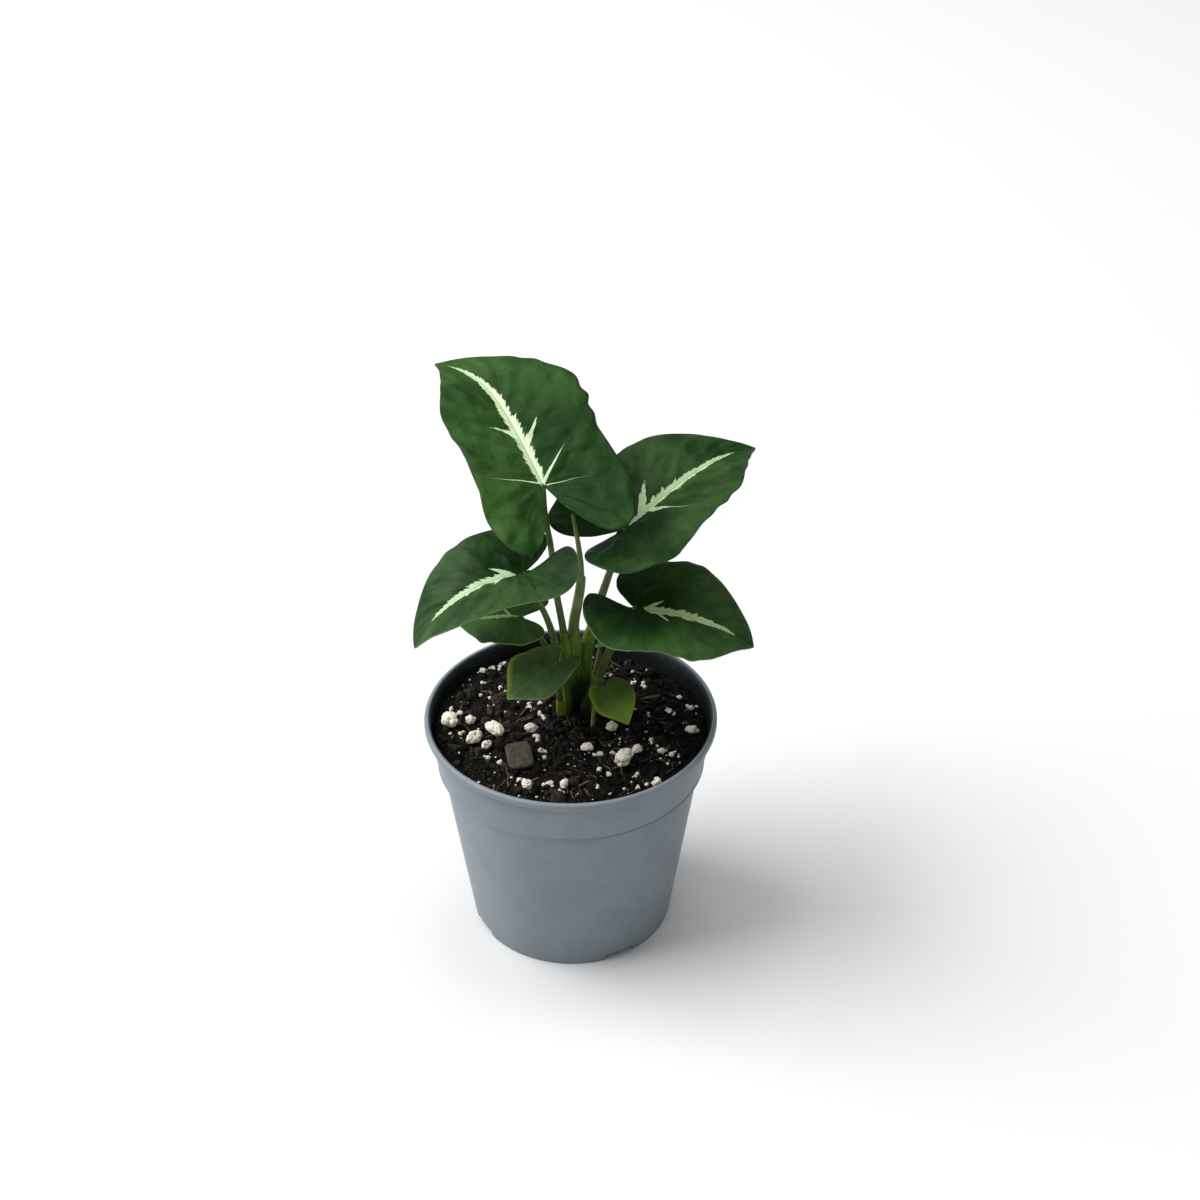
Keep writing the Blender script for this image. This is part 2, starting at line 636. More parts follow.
# the smaller grains, many in twos and threes: x, y, half size
SMALL_GRAINS = [(-46, 8, 1.5), (-50, 10, 1.2), (-52, 5, 1.2), (-45, -6, 1.2), (-33, -21, 1.2),
                (-28, -24, 1.4), (-14, -7, 1.8), (-13, 7, 1.5), (-11, 4, 1.4), (-13, 15, 1.2),
                (-10, 13, 1.1), (-30, 25, 1.2), (-38, 38, 1.5), (-34, 42, 1.2), (-31, 43, 1.2),
                (-29, 45, 1.2), (-12, -17, 1.5), (-8, -38, 1.7), (-4, -42, 1.2), (12, -18, 1.6),
                (37, -16, 1.5), (41, -18, 1.4), (27, -30, 1.2), (27, -39, 1.2), (15, -43, 0.9),
                (11, -40, 0.9), (50, 14, 1.5), (41, 10, 1.2), (40, 0, 1.2), (33, -8, 1.2),
                (26, 31, 1.2), (31, 29, 1.1), (-8, 43, 1.4), (-38, 29, 0.9), (32, 10, 0.9)]
strewn = []


def strew(x, y, size, above, finer, seed):
    """Lays one small grain on the soil."""
    strewn.append((popcorn((x, y, crumbly(x, y) + above * size), size, finer, seed), 0.0))


for seed, (x, y, size) in enumerate(SMALL_GRAINS, 40):
    turn = scatter.uniform(0.0, math.tau)
    strew(x, y, size, 0.55, 3, seed)
    x, y = x + 1.3 * size * math.cos(turn), y + 1.3 * size * math.sin(turn)
    strew(x, y, 0.65 * size, 0.55, 3, seed + 50)
# loose grains without a place of their own, then dust
for seed in range(44):
    x, y = spot_on_soil(SOIL_R - 2.5, 10.0)
    strew(x, y, scatter.uniform(0.7, 1.3), 0.55, 3, seed)
for seed in range(240):
    x, y = spot_on_soil(SOIL_R - 1.5, 9.0)
    size = scatter.uniform(0.22, 0.5) if seed % 5 else scatter.uniform(0.5, 0.85)
    strew(x, y, size, 0.7, 2, seed)
skin = perlite_finish("perlite_fines", (0.86, 0.82, 0.71), (0.50, 0.42, 0.31))
piece_of("perlite_small", heap(strewn), [skin])


# ---- Bark chip ----
# One flat chip of composted bark, worn round at its corners, with growth lines and a few pits.
low, high = [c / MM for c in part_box("bark_chip")]
CHIP_SIZE = Vector((10.5, 13.0, 2.2))
CHIP_TILT = Euler((0.22, -0.06, 0.20))
chip = bmesh.new()
bmesh.ops.create_cube(chip, size=1.0)
bmesh.ops.subdivide_edges(chip, edges=chip.edges, cuts=19, use_grid_fill=True)
for v in chip.verts:
    corner = (abs(2 * v.co.x) ** 5 + abs(2 * v.co.y) ** 5) ** 0.2
    face = max(abs(2 * v.co.x), abs(2 * v.co.y))
    if corner > 0:
        v.co.x *= face / corner
        v.co.y *= face / corner
    v.co.z *= 1.0 - 0.55 * max(0.0, (face - 0.8) / 0.2) ** 2
    v.co.x += 0.035 * noise.noise(Vector((v.co.y * 4, 3.0, 0.0)))
    uneven = noise.noise(v.co * 3.0)
    v.co.z += 0.08 * uneven + 0.02 * math.sin(30 * v.co.y + 4 * uneven)
bmesh.ops.scale(chip, vec=CHIP_SIZE, verts=chip.verts)
place = Matrix.Translation((low + high) / 2) @ CHIP_TILT.to_matrix().to_4x4()
chip.transform(place)
mat, spot = paint("composted_bark", 0.85, 0.3)
lines = grain(spot, (0.9, 0.25, 0.9), 4.0, 0.65)
pits = grain(spot, 1.1, 4.0, 0.7)
colour = over((0.040, 0.034, 0.024), (0.088, 0.075, 0.053), lines, 0.35, 0.68)
colour = over(colour, (0.020, 0.016, 0.013), pits, 0.64, 0.80, 0.0, 0.80)
skin = finished(mat, colour, plus(lines, pits), 0.3)
piece_of("bark_chip_worn", chip, [skin], ["bark_chip"])


# ---- Stems and stalks ----
# Living green tissue. Each leaf has a round stalk that starts as a sheath in the crown and
# flattens into the blade; all are thin swept tubes with streaks along their length.
def green_stem(name, low, high, tip, foot=0.0):
    """Streaked stem in two greens with patches of a third; foot is how much its base darkens."""
    mat, spot = paint(name, 0.38, 0.4)
    flat = node("UVMap", {}, spot, uv_map="flat").outputs[0]
    streak = grain(flat, (9.0, 14.0, 1.0), 4.0, 0.6)
    fine = grain(flat, (26.0, 40.0, 1.0), 3.0, 0.6)
    cloud = grain(spot, 0.09, 3.0, 0.5)
    colour = over(low, high, streak, 0.32, 0.68)
    colour = over(colour, tip, cloud, 0.42, 0.70, 0.0, 0.7)
    colour = over(colour, (0.035, 0.045, 0.012), fine, 0.62, 0.78, 0.0, 0.35)
    # the base is old and dark in its middle, and fresh and bright on its outer left
    if foot:
        across, _, high_up = parts_of(spot)
        ragged = minus(high_up, times(cloud, 10.0))
        middle = times(between(across, -1.6, 0.6), between(across, 9.5, 7.0))
        old = times(between(ragged, 100.0, 110.0, foot, 0.0), middle)
        old = maths("MAXIMUM", old, between(ragged, 88.0, 93.0, foot, 0.0))
        colour = blend(old, colour, (0.009, 0.022, 0.003))
        outer = times(between(across, -1.2, -2.8), between(high_up, 114.0, 100.0))
        colour = blend(times(outer, 0.85), colour, (0.260, 0.340, 0.050))
    rough = between(fine, 0.3, 0.7, 0.32, 0.52)
    return finished(mat, colour, streak, 0.15, rough=rough)


# per stalk: its path from the crown to the blade, its radius at the base, middle and top, and the
# height where it leaves its sheath (g comes up beside the crown and has none)
STALKS = {
    "a": dict(path=[(-0.5, 10.5, 85), (-0.8, 10.3, 104), (-1.5, 9.5, 122), (-3, 7, 138),
                    (-5.5, 4.5, 158), (-7.2, 4.4, 178), (-9, 4.2, 191), (-10, 3, 207)],
              r=(3.2, 1.5, 1.0), split=136),
    "b": dict(path=[(4.5, 14, 85), (5.5, 14.8, 104), (6.5, 14.5, 120), (9, 13.5, 135),
                    (15, 13.5, 157), (22, 10, 183)], r=(3.2, 2.1, 1.1), split=134),
    "c": dict(path=[(-2, 10, 85), (-3.2, 9.2, 104), (-4.5, 8, 121), (-7, 4.5, 136),
                    (-10.5, 0, 151), (-18, -4, 171)], r=(2.4, 1.5, 1.0), split=134),
    "d": dict(path=[(4.2, 9.5, 85), (6.5, 8.5, 98), (10, 8, 108), (13, 7, 119), (18, 1, 135),
                    (26, -8, 157)], r=(2.9, 2.2, 1.2), split=114),
    "e": dict(path=[(-2.5, 12.5, 85), (-4.5, 12, 102), (-7, 10, 118), (-12, 5, 134),
                    (-20, 0, 148)], r=(2.2, 1.2, 0.9), split=124),
    "f": dict(path=[(-3.3, 9, 85), (-3.8, 7.6, 95), (-4.6, 0, 109), (-5.2, -6, 121),
                    (-6, -10, 132)], r=(2.0, 1.3, 0.9), split=106),
    "h": dict(path=[(6.5, 13, 85), (8.5, 16.5, 98), (11, 20, 112), (13, 22.5, 122)],
              r=(2.2, 1.1, 0.8), split=106),
    "g": dict(path=[(9, 0, 87), (9, 0, 95), (10, -0.4, 104), (14, -3, 115)],
              r=(1.2, 0.9, 0.8)),
}
SPEAR = dict(path=[(2, 14, 85), (1.5, 13, 104), (1, 11.5, 122), (1.5, 9.5, 138), (3, 6, 150),
                   (4.5, 3.5, 163), (4, 2, 177), (1.5, 1, 195)], r=(3.2, 2.2, 0.7), split=136)
SPEAR_COLLAR = 164.0


def two_parts(spec, steps):
    """Splits a stalk's path at the height where it leaves the crown's sheaths."""
    path = smooth_path(spec["path"], steps)
    low = [p for p in path if p.z < spec["split"]]
    high = [p for p in path if p.z >= spec["split"]]
    joint = low[-1].lerp(high[0], (spec["split"] - low[-1].z) / (high[0].z - low[-1].z))
    return low + [joint], [joint] + high


def sheath_shape(lips):
    """A sheath is a tube whose two thin lips meet in a groove."""
    def shape(turn, share):
        away = (turn - lips + math.pi) % math.tau - math.pi
        lip = math.exp(-((abs(away) - 0.45) / 0.16) ** 2)
        groove = math.exp(-(away / 0.25) ** 2)
        fade = min(1.0, 4.0 * (1.0 - share))
        ribs = 0.03 * math.cos(9 * turn)
        return 1.0 + (0.42 * lip - 0.30 * groove) * fade + ribs
    return shape


sheaths = bmesh.new()
for turn, spec in enumerate(list(STALKS.values())[:-1] + [SPEAR]):
    low, _ = two_parts(spec, 10)
    base_r, mid_r, _ = spec["r"]
    radii = [mid_r + (base_r - mid_r) * (1 - k / (len(low) - 1)) ** 0.8 for k in range(len(low))]
    swept(sheaths, low, radii, 44, sheath_shape(1.1 + 1.7 * turn))
bmesh.ops.recalc_face_normals(sheaths, faces=sheaths.faces)
skin = green_stem("sheath_skin", (0.050, 0.115, 0.010), (0.105, 0.200, 0.018),
                  (0.170, 0.230, 0.034), foot=0.93)
piece_of("sheaths", sheaths, [skin], ["crown"])

# the stalks above their sheaths, each a little wider where it joins its blade
for key, spec in STALKS.items():
    high = smooth_path(spec["path"], 10) if key == "g" else two_parts(spec, 10)[1]
    _, mid_r, top_r = spec["r"]
    last = len(high) - 1
    radii = [mid_r + (top_r - mid_r) * k / last for k in range(last + 1)]
    radii = [r * (1.0 + 0.22 * math.exp(-((last - k) / 4.0) ** 2)) for k, r in enumerate(radii)]
    stalk = bmesh.new()
    swept(stalk, high, radii, 20, lambda turn, share: 1.0 + 0.025 * math.cos(7 * turn))
    bmesh.ops.recalc_face_normals(stalk, faces=stalk.faces)
    if key == "g":
        skin = green_stem("shoot_skin", (0.12, 0.20, 0.035), (0.17, 0.26, 0.05), (0.20, 0.29, 0.08))
    else:
        skin = green_stem("stalk_skin_" + key, (0.050, 0.084, 0.014), (0.096, 0.140, 0.026),
                          (0.082, 0.088, 0.024))
    piece_of("stalk_%s_round" % key, stalk, [skin], ["stalk_" + key])

# the spear: a round stem up to its collar, then the thinner rolled leaf
_, high = two_parts(SPEAR, 12)
last = len(high) - 1
collar = min(range(last + 1), key=lambda k: abs(high[k].z - SPEAR_COLLAR))
radii = []
for k in range(last + 1):
    if k <= collar:
        radii.append(2.25 - 0.35 * k / collar)
    else:
        radii.append(1.35 - 0.62 * ((k - collar) / (last - collar)) ** 1.2)
radii[-1] *= 0.55
spear = bmesh.new()
swept(spear, high, radii, 24,
      lambda turn, share: 1.0 + 0.10 * math.exp(-((turn - 4.4) / 0.3) ** 2))
bmesh.ops.recalc_face_normals(spear, faces=spear.faces)
skin = green_stem("spear_skin", (0.075, 0.115, 0.024), (0.120, 0.165, 0.040), (0.21, 0.27, 0.09))
piece_of("spear_rolled_leaf", spear, [skin], ["spear"])


# ---- Leaves ----
# Arrowhead blades, dark and velvety, with a jagged whitish band along the midrib. Each is a fine
# grid laid out flat, quilted between its side veins, then folded, bent and turned to its place.

# edge curves of half a blade, from the notch between the lobes to the tip: share of the half
# width, share of the lobe's length (minus) or the blade's (plus), and the share of the midrib
# from where that place of the edge is reached
FRONT = [(0.93, 0.28, 0.06), (0.74, 0.52, 0.20), (0.45, 0.75, 0.42), (0.16, 0.93, 0.72),
         (0.00, 1.00, 1.00)]
EDGE = [(0.00, 0.00, 0.00), (0.10, -0.30, 0.00), (0.24, -0.66, 0.00), (0.42, -0.93, 0.00),
        (0.62, -1.00, 0.00), (0.84, -0.80, 0.00), (0.98, -0.40, 0.00), (1.00, 0.05, 0.00)] + FRONT
BLUNT = [(0.00, 0.00, 0.00), (-0.05, -0.33, 0.00), (-0.04, -0.74, 0.00), (0.14, -1.02, 0.00),
         (0.48, -1.10, 0.00), (0.82, -0.95, 0.00), (1.04, -0.48, 0.00), (1.05, 0.03, 0.00)] + FRONT
YOUNG = [(0.00, 0.00, 0.00), (0.12, -0.50, 0.00), (0.28, -0.95, 0.00), (0.48, -1.05, 0.00),
         (0.68, -0.70, 0.00), (0.84, -0.15, 0.00), (0.95, 0.09, 0.00), (0.99, 0.22, 0.03),
         (0.92, 0.38, 0.09), (0.73, 0.57, 0.22), (0.46, 0.76, 0.42), (0.18, 0.92, 0.72),
         (0.00, 1.00, 1.00)]
RIPPLES = 0.36                # how closely the small bumps of an edge follow each other

# side veins: where one leaves the midrib (share of its length) and where it meets the edge
# (points of the edge curve), straight to bowed
VEINS = [(0.0, 1.7, 0.1), (0.0, 3.2, 0.3), (0.0, 4.7, 0.4), (0.0, 6.1, 0.5), (0.01, 7.3, 0.6),
         (0.09, 8.3, 0.8), (0.22, 9.1, 0.9), (0.35, 9.8, 0.9), (0.48, 10.4, 0.9), (0.61, 10.9, 0.9),
         (0.74, 11.4, 0.8)]

# in mm and degrees, pairs for the left and the right half
# at: where the stalk joins the blade; fold, droop: how the halves fold up and the tip bends down
# lift, twist: how the lobes rise and open; flare, full, snub: wider lobes, fuller front, blunter
# tip; blunt: share of the BLUNT curve; bend, hook: sideways bow of the blade and of its tip
# wave, ripple: height of the edge's waves and of its small bumps outwards
PLAIN = dict(flare=(0, 0), bend=0, hook=0, snub=(0, 0), blunt=(0, 0), twist=(0, 0), ripple=(0, 0))
LEAVES = {
    "a": dict(PLAIN, at=(-10, 3, 207), heading=26, pitch=27, roll=-2, length=78, halves=(28, 32),
              lobes=(30, 35), fold=18, droop=24, lift=(-1, 17), flare=(0.2, 0), bend=2, hook=-15,
              full=(0.3, 0.33), snub=(0.6, 1.1), wave=0.9, ripple=(0.2, 0.75)),
    "b": dict(PLAIN, at=(22, 10, 183), heading=-46, pitch=18, roll=4, length=73, halves=(30, 31),
              lobes=(24, 26), fold=20, droop=22, lift=(18, 24), bend=-4, hook=6.5,
              full=(0.19, 0.2), blunt=(0, 1), twist=(0, 4), wave=1.0, ripple=(0.2, 0.6)),
    "c": dict(PLAIN, at=(-18, -4, 171), heading=110, pitch=5, roll=-5, length=55, halves=(24, 25),
              lobes=(21, 15), fold=18, droop=70, lift=(60, 20), bend=-2,
              full=(0.2, 0.08), blunt=(0.9, 0), twist=(12, 0), wave=0.8, ripple=(0.5, 0.4)),
    "d": dict(PLAIN, at=(26, -8, 157), heading=-95, pitch=1, roll=7, length=51, halves=(30, 25),
              lobes=(9, 20), fold=8, droop=42, lift=(22, 42), flare=(-0.2, -0.12),
              full=(0.36, 0.3), snub=(1, 0), blunt=(0, 1), twist=(0, 8), wave=0.8,
              ripple=(0.3, 0.4)),
    "e": dict(PLAIN, at=(-20, 0, 148), heading=85, pitch=0, roll=-15, length=26, halves=(15, 13),
              lobes=(11, 11), fold=8, droop=30, lift=(5, 5), full=(0.2, 0.2), wave=0.4,
              ripple=(0.5, 0.5)),
    "f": dict(PLAIN, at=(-6, -10, 132), heading=125, pitch=-15, roll=-15, length=24,
              halves=(10, 12), lobes=(9, 7), fold=5, droop=10, lift=(5, 5),
              full=(0.35, 0.45), wave=0.3),
    "g": dict(PLAIN, at=(14, -3, 115), heading=-146, pitch=-15, roll=5, length=18.6,
              halves=(9.8, 9), lobes=(3, 3), fold=10, droop=25, lift=(-20, -20),
              full=(0.12, 0.25), wave=0.2),
    "h": dict(PLAIN, at=(13, 22.5, 122), heading=-60, pitch=20, roll=10, length=20, halves=(8, 8),
              lobes=(5, 5), fold=25, droop=20, lift=(0, 0), full=(0.2, 0.2), wave=0.2),
}

# the white band of each leaf, in mm along the midrib: first, broad from, last, then its half
# width; streaks and spikes branch off it: from (across, along) to (across, along), half width
BANDS = {
    "a": (-1, 7, 75, 2.5, [(0, 25, -11, 30, 1.5), (0, 17, 10, 29, 1.5)]),
    "b": (2, 15, 64, 2.1, [(-0.5, 10, -10.5, 22, 1.9), (0, 12, 11.5, 16, 1.5)]),
    "c": (3, 9, 42, 2.1, [(0.5, 5, 6, 12, 1.3), (0, 9, -4, 13, 1.2)]),
    "d": (4, 7, 42, 2.3, [(-0.5, 4, -6, 11, 1.1), (0.5, 7, 6.5, 14, 1.2)]),
    "e": (0, 6, 18, 0.9, [(0, 3, 5, 8, 0.6)]),
}
# fine tapering lines beside the bands, in the same terms
HAIRLINES = {
    "a": [(0, 0, 15, 13, 0.80), (0, 0.5, -20, 5, 0.42), (1, -1, 16, -4.5, 0.22)],
    "b": [(8, 14.5, 18, 21, 0.25)],
}


def leaf_sheet(leaf, side, share, across, along, start):
    """Flat place (across, along) in mm of points given by share: 0 at the midrib, 1 at the edge."""
    pick = (side > 0).astype(int)
    terms = ("halves", "lobes", "flare", "full", "snub", "ripple")
    half, lobe, flare, full, snub, ripple = [np.array(leaf[name], float)[pick] for name in terms]
    length = leaf["length"]
    wide = across * half * np.where(along < 0, 1 - flare * along, 1.0)
    front = np.clip(along, 0.2, 1.0)
    wide *= 1 + full * np.abs(np.sin(np.pi * (front - 0.2) / 0.8)) ** 1.5
    wide *= np.where(along > 0.2, 1 + snub * front ** 5, 1.0)
    reach = along * np.where(along < 0, lobe, length)
    way = along * length - across * half
    bump = np.sin(RIPPLES * way + 1.6 * np.sin(0.13 * way)) * np.clip(0.3 + 2 * along, 0, 1)
    wide *= 1 + ripple / half * bump
    u = wide * share
    v = np.maximum(start, 0.0) * length * (1 - share) + reach * share
    return u, v, half, lobe


def leaf_in_air(leaf, side, share, along, u, v, half, lobe, quilt):
    """Folds and bends the flat leaf and turns it to its place."""
    length = leaf["length"]
    pick = (side > 0).astype(int)
    behind = np.maximum(-v, 0.0)
    ahead = np.maximum(v, 0.0) / length
    down = math.radians(leaf["droop"]) * np.maximum(ahead, 1e-6)
    up = np.radians(np.array(leaf["lift"])[pick]) * np.sqrt(behind / max(leaf["lobes"]))
    turn = np.where(v > 0, down, up)
    y = np.where(v > 0, v * np.sin(down) / down, -behind * np.cos(up * 2 / 3))
    z = np.where(v > 0, -v * (1 - np.cos(down)) / down, behind * np.sin(up * 2 / 3))
    fold = np.radians(leaf["fold"] + np.array(leaf["twist"])[pick] * np.minimum(v / lobe, 0.0))
    rise = u * np.sin(fold) - 0.10 * u * u / half + quilt
    rise += leaf["wave"] * share * u / half * np.sin(6.6 * along + 1.3 * side + length)
    x = side * u * np.cos(fold)
    x += leaf["bend"] / 100 * length * ahead ** 2 + leaf["hook"] * ahead ** 6
    y += rise * np.sin(turn)
    z += rise * np.cos(turn)
    pose = Matrix.Rotation(math.radians(leaf["heading"]), 3, "Z")
    pose = pose @ Matrix.Rotation(math.radians(leaf["pitch"]), 3, "X")
    pose = pose @ Matrix.Rotation(math.radians(leaf["roll"]), 3, "Y")
    return np.stack([x, y, z], 1) @ np.array(pose).T + np.array(leaf["at"])


def distance_to(points, line):
    """Distance to a bent line, and how far along it the nearest place is (0 to 1)."""
    best = np.full(len(points), 1e9)
    place = np.zeros(len(points))
    steps = len(line) - 1
    for k in range(steps):
        a, b = line[k], line[k + 1]
        t = np.clip(((points - a) @ (b - a)) / max((b - a) @ (b - a), 1e-9), 0.0, 1.0)
        away = np.linalg.norm(points - (a + t[:, None] * (b - a)), axis=1)
        closer = away < best
        best = np.where(closer, away, best)
        place = np.where(closer, (k + t) / steps, place)
    return best, place


def vein_line(leaf, margin, steps, vein, side):
    """A side vein as a bent line on the flat leaf."""
    leave, meet, bow = vein
    row = margin[round(meet * steps)]
    u, v, _, _ = leaf_sheet(leaf, np.array([float(side)]), np.array([1.0]),
                            *[np.array([value]) for value in row])
    first = np.array([0.0, (leave + 0.02 * math.sin(9 * meet + side)) * leaf["length"]])
    if leave == 0.0:
        first[1] = 0.0
    end = np.array([side * u[0], v[0]])
    middle = (first + end) / 2
    middle += bow * 0.25 * np.array([side * abs(end[0]), -abs(end[1] - first[1])])
    return np.array([(1 - t) ** 2 * first + 2 * t * (1 - t) * middle + t * t * end
                     for t in np.linspace(0, 0.99, 9)])


def leaf_marks(leaf, key, margins, steps, flat, side):
    """Per point: how near a side vein is, depth inside the band, and the band's half width."""
    near = np.full(len(flat), 9.0)
    for vein in VEINS:
        for hand in (-1, 1):
            line = vein_line(leaf, margins[(hand + 1) // 2], steps, vein, hand)
            away, _ = distance_to(flat, line)
            near = np.minimum(near, np.where(side == hand, away, 9.0))
    depth, swing = np.full(len(flat), -9.0), np.zeros(len(flat))
    if key in BANDS:
        first, broad, last, wide, streaks = BANDS[key]
        across, along = flat.T
        stops = [first - 1, first, broad, 0.45 * last, 0.7 * last, 0.9 * last, last, last + 2]
        half = wide * np.interp(along, stops, [-1.0, 0.3, 0.95, 1.0, 0.72, 0.42, 0.0, -1.5])
        depth, swing = half - np.abs(across), np.maximum(half, 0.0)
        for from_u, from_v, to_u, to_v, half in streaks:
            line = np.array([[from_u, from_v], [to_u, to_v]], float)
            away, place = distance_to(flat, line)
            own = half * (1 - place) ** 0.7
            swing = np.where(own - away > depth, own, swing)
            depth = np.maximum(depth, own - away)
    return near, depth, swing


def hairline(flat, line):
    """Depth inside a thin line that tapers from its start to its end, in mm."""
    start, end = Vector((line[0], line[1], 0.0)), Vector((line[2], line[3], 0.0))
    ahead = end - start
    along = ahead / ahead.length_squared * 100.0
    across = Vector((-ahead.y, ahead.x, 0.0)).normalized() * 100.0
    origin = start / 100.0 + Vector((0.5, 0.5, 0.0))
    from_start = node("VectorMath", {0: flat, 1: origin}, operation="SUBTRACT").outputs[0]
    place = node("VectorMath", {0: from_start, 1: along}, operation="DOT_PRODUCT").outputs[1]
    away = node("VectorMath", {0: from_start, 1: across}, operation="DOT_PRODUCT").outputs[1]
    away = maths("ABSOLUTE", away)
    half = times(minus(1.0, place), line[4])
    begun = between(place, -0.02, 0.02, -50.0, 0.0)
    return plus(minus(half, away), begun)


def darker_inside(colour, halves, flat, patch, shades, deep):
    """Darkens each half of a blade around its stalk, with a ragged edge."""
    away = node("VectorMath", {0: flat, 1: (0.5, 0.5, 0.0)}, operation="DISTANCE")
    out = plus(times(away.outputs["Value"], 100.0), times(patch, 12.0))
    for (amount, reach), half in zip(shades, ((1.0, 0.0), (0.0, 1.0))):
        inside = times(between(out, 0.35 * reach, reach, amount, 0.0),
                       between(halves, 0.48, 0.51, *half))
        colour = blend(inside, colour, deep)
    return colour


def fresher(colour, halves, ahead, rim, cloud, young):
    """Turns a young blade yellower at its tip and along the edge of its right half."""
    fresh, comes, full = young
    front = plus(times(ahead, 100.0), times(cloud, 6.0))
    tip = between(front, 50.0 + comes, 50.0 + full, 0.0, 0.85)
    edge = times(between(rim, 0.5, 2.8, 0.80, 0.0), between(halves, 0.50, 0.54))
    return blend(maths("MAXIMUM", tip, edge), colour, fresh)


def banded(colour, flat, fine, halves, ahead, off, white, hairlines):
    """Lays the band along the midrib over a colour: teeth, streaks, fine lines and a green rib."""
    swing = carried(flat, "swing")
    slant = minus(ahead, times(off, 1.1))
    tooth_at = node("CombineXYZ", {0: halves, 1: slant, 2: 0.0}).outputs[0]
    tooth = grain(tooth_at, (22.0, 75.0, 1.0), 2.0, 0.7)
    jag = times(minus(tooth, 0.52), 2.3)
    depth = plus(carried(flat, "band"), times(jag, swing))
    for line in hairlines:
        depth = maths("MAXIMUM", depth, hairline(flat, line))
    rib = between(plus(off, times(fine, 0.0015)), 0.0018, 0.0042, 0.70, 0.0)
    streaks = grain(tooth_at, (60.0, 200.0, 1.0), 3.0, 0.6)
    white = over(white, tuple(0.60 * c for c in white), streaks, 0.42, 0.72, 0.0, 0.45)
    white = blend(rib, white, (0.17, 0.27, 0.11))
    return over(colour, white, depth, -0.10, 0.14)


def leaf_skin(name, dark, light, vein_colour, rim_colour, band_colour=None, hairlines=(),
              young=None, shades=()):
    """Upper face of a blade: mottled velvety green, paler veins and rim, and the jagged band.

    The flat map has the blade at 100 mm to 1, with its stalk at 0.5, 0.5.
    young: the colour of a leaf's yellower tip, and from where to where it comes in, in mm.
    shades: for the left and the right half, how much darker it is by the stalk and how far out.
    """
    mat, spot = paint(name, 0.48, 0.08)
    flat = node("UVMap", {}, spot, uv_map="flat").outputs[0]
    halves, ahead, _ = parts_of(flat)
    off = maths("ABSOLUTE", minus(halves, 0.5))
    rim = carried(spot, "rim")
    cloud = grain(spot, 0.055, 4.0, 0.55)
    patch = grain(flat, (17.0, 17.0, 1.0), 5.0, 0.62)
    fine = grain(flat, (110.0, 110.0, 1.0), 4.0, 0.65)
    colour = over(dark, light, cloud, 0.36, 0.64)
    colour = over(colour, light, patch, 0.52, 0.72, 0.0, 0.50)
    colour = over(colour, dark, patch, 0.30, 0.46, 0.45, 0.0)
    colour = over(colour, dark, fine, 0.56, 0.76, 0.0, 0.30)
    ragged = plus(carried(spot, "vein"), times(patch, 2.0))
    here = between(grain(flat, (9.0, 9.0, 1.0), 2.0, 0.5), 0.36, 0.62, 0.05, 0.42)
    furrow = times(between(ragged, 1.2, 3.2, 1.0, 0.0), here)
    colour = blend(furrow, colour, dark)
    colour = over(colour, vein_colour, ragged, 0.9, 1.4, 0.24, 0.0)
    colour = over(colour, rim_colour, rim, 0.08, 0.42, 0.8, 0.0)
    deep = (0.15 * dark[0], 0.52 * dark[1], 0.15 * dark[2])
    colour = darker_inside(colour, halves, flat, patch, shades, deep)
    if young:
        colour = fresher(colour, halves, ahead, rim, cloud, young)
    if band_colour:
        colour = banded(colour, flat, fine, halves, ahead, off, band_colour, hairlines)
    else:
        colour = over(colour, vein_colour, off, 0.0012, 0.0055, 0.60, 0.0)
    net = node("TexVoronoi", {"Vector": flat, "Scale": 42.0}, feature="SMOOTH_F1").outputs[0]
    height = plus(times(net, -0.6), times(fine, 0.35))
    height = plus(height, times(patch, 1.2))
    return finished(mat, colour, height, 0.40, 0.7)


def leaf_back(name, green):
    """Underside: paler and duller, with the ribs standing out."""
    mat, spot = paint(name, 0.62, 0.3)
    cloud = grain(spot, 0.12, 4.0, 0.6)
    colour = over(green, tuple(1.35 * c for c in green), cloud, 0.3, 0.7)
    ribs = between(carried(spot, "vein"), 0.2, 0.9, 0.6, 0.0)
    colour = blend(ribs, colour, tuple(1.9 * c for c in green))
    return finished(mat, colour, grain(spot, 2.0, 4.0, 0.6), 0.12)


# how finely a blade is made: steps between the edge curve's points, columns from the midrib to the
# edge, and the height of its quilting in mm
LARGE_BLADE = (16, 60, 0.75)
SMALL_BLADE = (8, 28, 0.35)


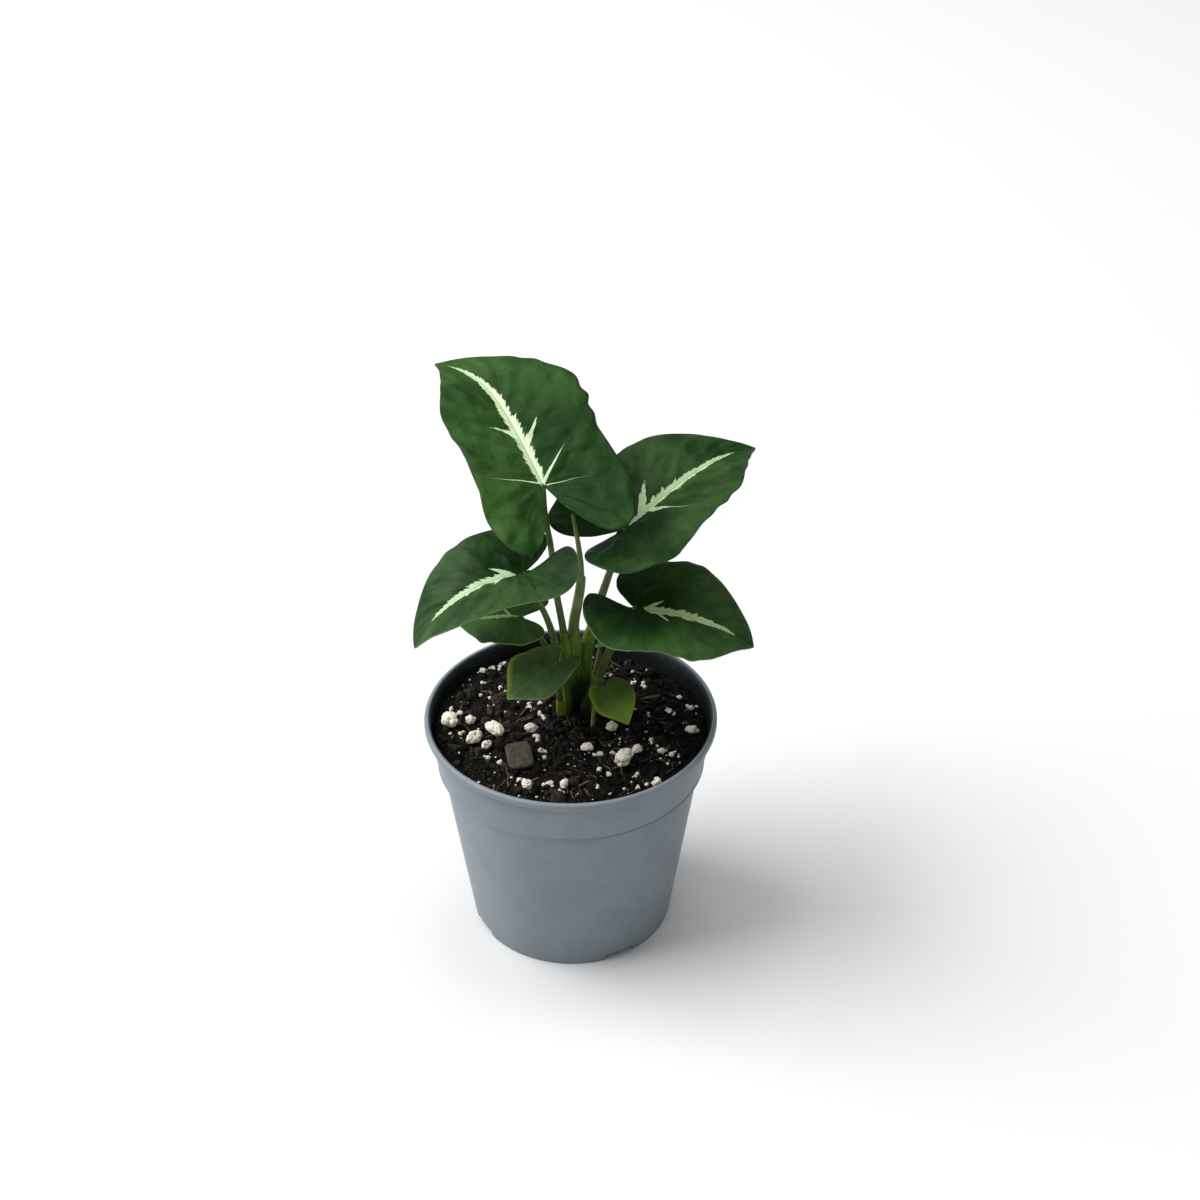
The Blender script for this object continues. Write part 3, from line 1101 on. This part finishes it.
def make_leaf(key, fineness, skin, back, curve=EDGE):
    """One blade: a flat grid that carries its marks, quilted, bent and given a thickness."""
    steps, columns, quilting = fineness
    leaf = LEAVES[key]
    margins = []
    for blunt in leaf["blunt"]:
        mixed = [Vector(p).lerp(Vector(q), blunt) for p, q in zip(curve, BLUNT)]
        margins.append(np.array([tuple(p) for p in smooth_path(mixed, steps)]))
    rows = len(margins[0]) - 2
    bm = bmesh.new()
    bmesh.ops.create_grid(bm, x_segments=2 * columns, y_segments=rows, size=1.0)
    grid = np.array([tuple(v.co) for v in bm.verts])
    side = np.where(grid[:, 0] >= 0, 1, -1)
    row = 1 + np.rint((grid[:, 1] + 1) / 2 * rows).astype(int)
    across, along, start = np.array(margins)[(side + 1) // 2, row].T
    share = np.abs(grid[:, 0]) ** 1.15
    u, v, half, lobe = leaf_sheet(leaf, side, share, across, along, start)
    flat = np.stack([side * u, v], 1)
    near, depth, swing = leaf_marks(leaf, key, margins, steps, flat, side)
    edge_u, edge_v, _, _ = leaf_sheet(leaf, side, np.ones_like(share), across, along, start)
    rim = (1 - share) * np.hypot(edge_u, edge_v - np.maximum(start, 0) * leaf["length"])
    swell = 1 - np.exp(-(near / 2.6) ** 2)
    ease = np.clip(u / 3.0, 0, 1) * np.clip(rim / 2.5, 0, 1)
    lumps = np.array([noise.noise(Vector((x * 0.15, y * 0.15, leaf["length"])))
                      + noise.noise(Vector((x * 0.07, y * 0.07, 5.0))) for x, y in flat])
    quilt = quilting * ease * np.maximum(swell * (0.8 + lumps) + 0.7 * lumps, 0.0)
    place = leaf_in_air(leaf, side, share, along, u, v, half, lobe, quilt)
    names = [bm.verts.layers.float.new(name) for name in ("vein", "band", "swing", "rim")]
    uv = bm.loops.layers.uv.new("flat")
    bm.verts.index_update()
    for face in bm.faces:
        for loop in face.loops:
            x, y = flat[loop.vert.index]
            loop[uv].uv = (x / 100 + 0.5, y / 100 + 0.5)
    for vert, spot, values in zip(bm.verts, place, zip(near, depth, swing, rim)):
        vert.co = spot
        for layer, value in zip(names, values):
            vert[layer] = value
    bmesh.ops.remove_doubles(bm, verts=bm.verts, dist=0.002)
    bmesh.ops.dissolve_degenerate(bm, edges=bm.edges, dist=0.001)
    bm.normal_update()
    if sum(face.normal.z * face.calc_area() for face in bm.faces) < 0:
        bmesh.ops.reverse_faces(bm, faces=bm.faces)
    blade = piece_of("leaf_" + key, bm, [skin, back], ["blade_" + key])
    thick = blade.modifiers.new("thickness", "SOLIDIFY")
    thick.thickness = 0.45 * MM
    thick.offset = -1.0
    thick.material_offset = 1


# per leaf: darkest and lightest green, the band, the rim, and how each half darkens by the stalk
DARK_LEAVES = {
    "a": ((0.010, 0.041, 0.006), (0.033, 0.086, 0.016), (0.56, 0.68, 0.44), (0.045, 0.052, 0.028),
          ((0.25, 30), (0.70, 80))),
    "b": ((0.008, 0.033, 0.006), (0.030, 0.069, 0.017), (0.46, 0.60, 0.35), (0.045, 0.060, 0.028),
          ((0.55, 42), (0.55, 36))),
    "c": ((0.012, 0.037, 0.010), (0.036, 0.076, 0.022), (0.50, 0.66, 0.40), (0.13, 0.19, 0.09),
          ((0.20, 24), (0.85, 42))),
    "d": ((0.010, 0.040, 0.006), (0.034, 0.082, 0.018), (0.40, 0.52, 0.25), (0.13, 0.19, 0.09),
          ((0.85, 44), (0.85, 34))),
    "e": ((0.028, 0.078, 0.016), (0.068, 0.145, 0.032), (0.28, 0.44, 0.18), (0.16, 0.24, 0.08), ()),
}
for key, (dark, light, band, rim, shades) in DARK_LEAVES.items():
    skin = leaf_skin("leaf_face_" + key, dark, light, (0.060, 0.120, 0.045), rim, band,
                     HAIRLINES.get(key, ()), shades=shades)
    back = leaf_back("leaf_back_" + key, (0.060, 0.115, 0.040))
    make_leaf(key, SMALL_BLADE if key == "e" else LARGE_BLADE, skin, back)

# per young leaf: darkest and lightest green, then its yellower tip
YOUNG_LEAVES = {
    "f": ((0.042, 0.094, 0.030), (0.100, 0.168, 0.058), ((0.190, 0.270, 0.040), 22, 29)),
    "g": ((0.044, 0.094, 0.016), (0.092, 0.164, 0.032), ((0.190, 0.270, 0.036), 8, 20)),
    "h": ((0.030, 0.072, 0.014), (0.056, 0.115, 0.026), ((0.090, 0.160, 0.030), 8, 22)),
}
for key, (dark, light, young) in YOUNG_LEAVES.items():
    skin = leaf_skin("leaf_face_" + key, dark, light, (0.110, 0.180, 0.060), (0.20, 0.28, 0.08),
                     young=young)
    back = leaf_back("leaf_back_" + key, (0.075, 0.130, 0.040))
    make_leaf(key, SMALL_BLADE, skin, back, YOUNG)
